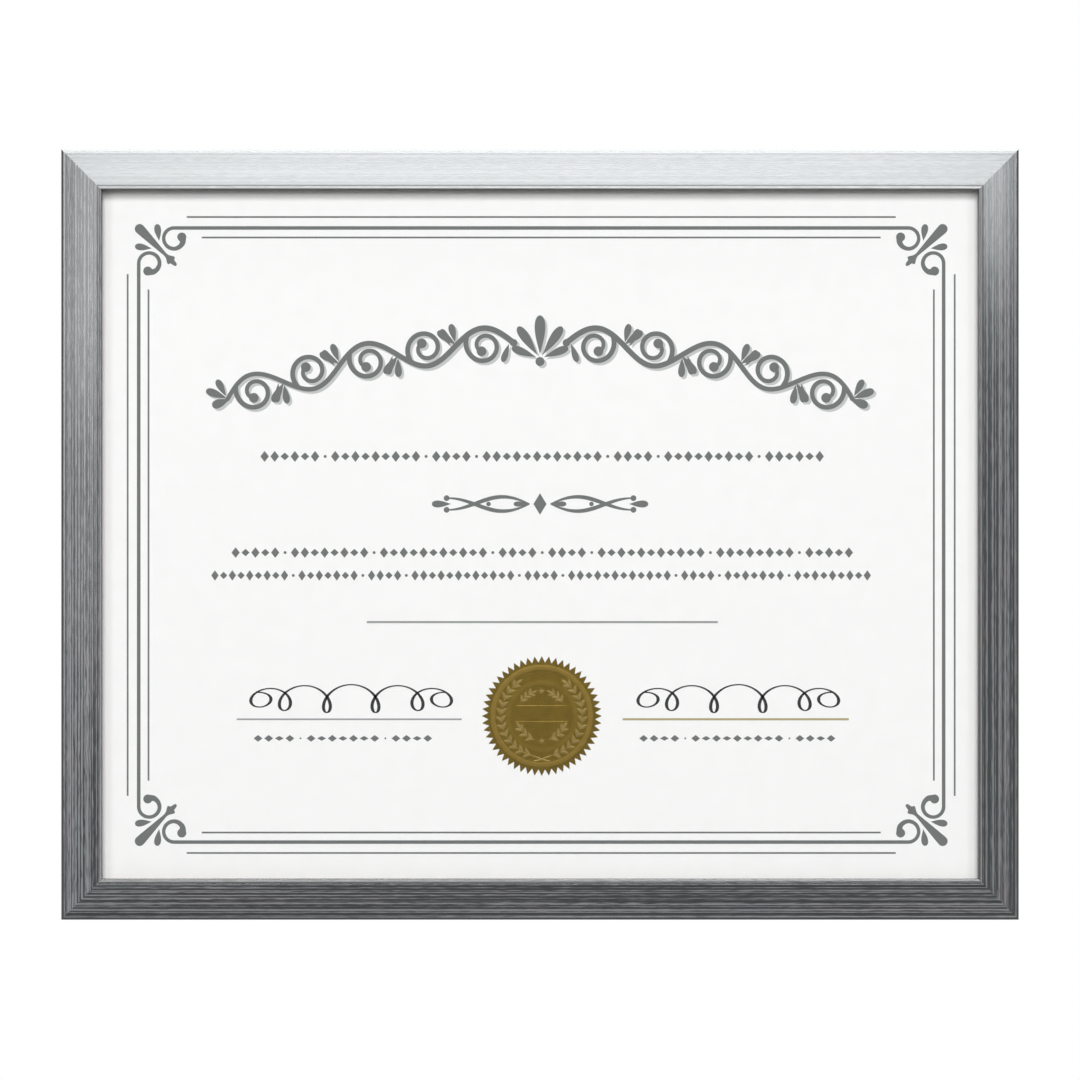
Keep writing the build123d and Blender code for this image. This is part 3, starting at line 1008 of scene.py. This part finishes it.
def leaf(root, tip, width, bend=0.0):
    shape = seal["leaf"]
    along = tip - root
    across = Vector((-along.y, along.x))
    path, widths = [], []
    for f in spread(0.0, 1.0, shape["steps"]):
        path.append(tuple(root + along * f + across * bend * sin(pi * f)))
        full = sin(pi * min(1.0, f * shape["run"] + shape["from"])) ** shape["fullness"]
        widths.append(max(shape["thinnest"], width * full))
    relief(path, widths, seal["crest"])


def sprig(start, end, radius, pairs, length, width):
    # stem along an arc with leaf pairs, from the root to the tip leaf
    stem, shape = seal["stem"], seal["leaf"]
    turns = spread(start, end, stem["steps"])
    path = [tuple(polar(radius, a)) for a in turns]
    relief(path, [stem["width"]] * len(path), seal["crest"] * stem["crest"])
    lead = 1 if end > start else -1
    for k in range(pairs):
        a = start + (end - start) * (k + 0.5) / pairs
        root = polar(radius, a)
        for side in (1, -1):
            heading = a + lead * 90 - side * lead * shape["spread"]
            leaf(root, root + polar(length, heading), width, shape["bend"] * side * lead)
    root = polar(radius, end)
    leaf(root, root + polar(length, end + lead * 90), width)


def sprigs(pair):
    for start, end in pair["arcs"]:
        sprig(start, end, pair["radius"], pair["pairs"], pair["length"], pair["width"])


def star(x, z):
    size, waist = seal["starSize"]
    hub = mesh.verts.new((x, -seal["foot"] - seal["crest"], z))
    rim = []
    for k in range(10):
        r, turn = size * (waist if k % 2 else 1.0), pi * k / 5
        rim.append(mesh.verts.new((x + r * sin(turn), seal["rimSunk"] - seal["foot"], z + r * cos(turn))))
    for k in range(10):
        tinted((hub, rim[(k + 1) % 10], rim[k]), "sealReliefHighlight")
    tinted(rim, "sealReliefHighlight")


sprigs(seal["wreath"])
tieWidths = [width for x, z, width in seal["tie"]]
for side in (1, -1):
    relief([(side * x, z) for x, z, width in seal["tie"]], tieWidths, seal["tieCrest"])
sprigs(seal["upper"])
sprigs(seal["lower"])
for x, z in seal["stars"]:
    star(x, z)
for z, half in seal["lines"]:
    relief([(-half, z), (half, z)], [seal["lineWidth"]] * 2, seal["lineCrest"], "sealRingHighlight")
sealMiddle = (sealLow + sealHigh) / 2
sealPiece = meshObject("embossed_seal", mesh, (sealMiddle.x, paperY, sealMiddle.z))
for name, (bright, dull, rough) in seal["tones"].items():
    sealPiece.data.materials.append(metalMaterial(name, bright, dull, rough))
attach(sealPiece, "frame")
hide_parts("foil_seal")
print("seal embossed")

# studio: soft panels in front, at the sides, above and behind
panels = {
    "key": {"azimuth": 0, "elevation": 35.5, "distance": 7.0, "size": (3.5, 2.0), "radiance": 13.3},
    "left": {"azimuth": -37, "elevation": 12.6, "distance": 3.0, "size": (0.7, 0.86), "radiance": 5.7},
    "leftLow": {"azimuth": -37, "elevation": 1.2, "distance": 3.0, "size": (0.7, 0.5), "radiance": 1.9},
    "right": {"azimuth": 37, "elevation": 14.4, "distance": 3.0, "size": (0.7, 0.66), "radiance": 7.7},
    "fill": {"azimuth": 0, "elevation": 18, "distance": 6.0, "size": (3.4, 1.48), "radiance": 4.6},
    "above": {"azimuth": 0, "elevation": 93, "distance": 1.3, "size": (1.0, 0.6), "radiance": 13.0},
    "behind": {"azimuth": 155, "elevation": 66, "distance": 3.0, "size": (3.0, 1.4), "radiance": 3.4},
}
target = Vector((midX, 0, midZ))
for name, panel in panels.items():
    data = bpy.data.lights.new(name, "AREA")
    data.shape = "RECTANGLE"
    data.size, data.size_y = panel["size"]
    data.energy = panel["radiance"] * pi * panel["size"][0] * panel["size"][1]
    lamp = addObject(name, data)
    turn, lift = radians(panel["azimuth"]), radians(panel["elevation"])
    away = Vector((sin(turn) * cos(lift), -cos(turn) * cos(lift), sin(lift))) * panel["distance"]
    lamp.location = target + away
    lamp.rotation_euler = (-away).to_track_quat("-Z", "Y").to_euler()
    lamp.visible_camera = False

studio = {
    "ambient": 0.06,
    "seen": 1.0,
    "floorSize": 6,
    "floorDrop": 1.1,
    "floorColour": (0.3, 0.3, 0.3, 1),
    "floorRough": 0.9,
    "floorGlow": 0.85,
}


def backdropRays(tree):
    rays = tree.nodes.new("ShaderNodeLightPath").outputs
    seen = calc(tree, "MAXIMUM", rays["Is Camera Ray"], rays["Is Glossy Ray"])
    return calc(tree, "MAXIMUM", seen, rays["Is Transmission Ray"])


world = bpy.data.worlds.new("studio")
bpy.context.scene.world = world
world.use_nodes = True
tree = world.node_tree
tree.nodes["Background"].inputs["Color"].default_value = (1, 1, 1, 1)
strength = fade(tree, backdropRays(tree), 0.0, 1.0, studio["ambient"], studio["seen"])
feed(tree, strength, tree.nodes["Background"].inputs["Strength"])

bpy.ops.mesh.primitive_plane_add(size=studio["floorSize"], location=(0, 0, midZ - studio["floorDrop"]))
floor = bpy.context.object
floor.name = "floor"
pale, tree, shader, place = newMaterial(
    "paleFloor", **{"Base Color": studio["floorColour"], "Roughness": studio["floorRough"]}
)
glow = tree.nodes.new("ShaderNodeEmission")
amount = calc(tree, "MULTIPLY", backdropRays(tree), studio["floorGlow"])
mixShaders(tree, amount, shader, glow, tree.nodes["Material Output"])
floor.data.materials.append(pale)
print("studio lit")
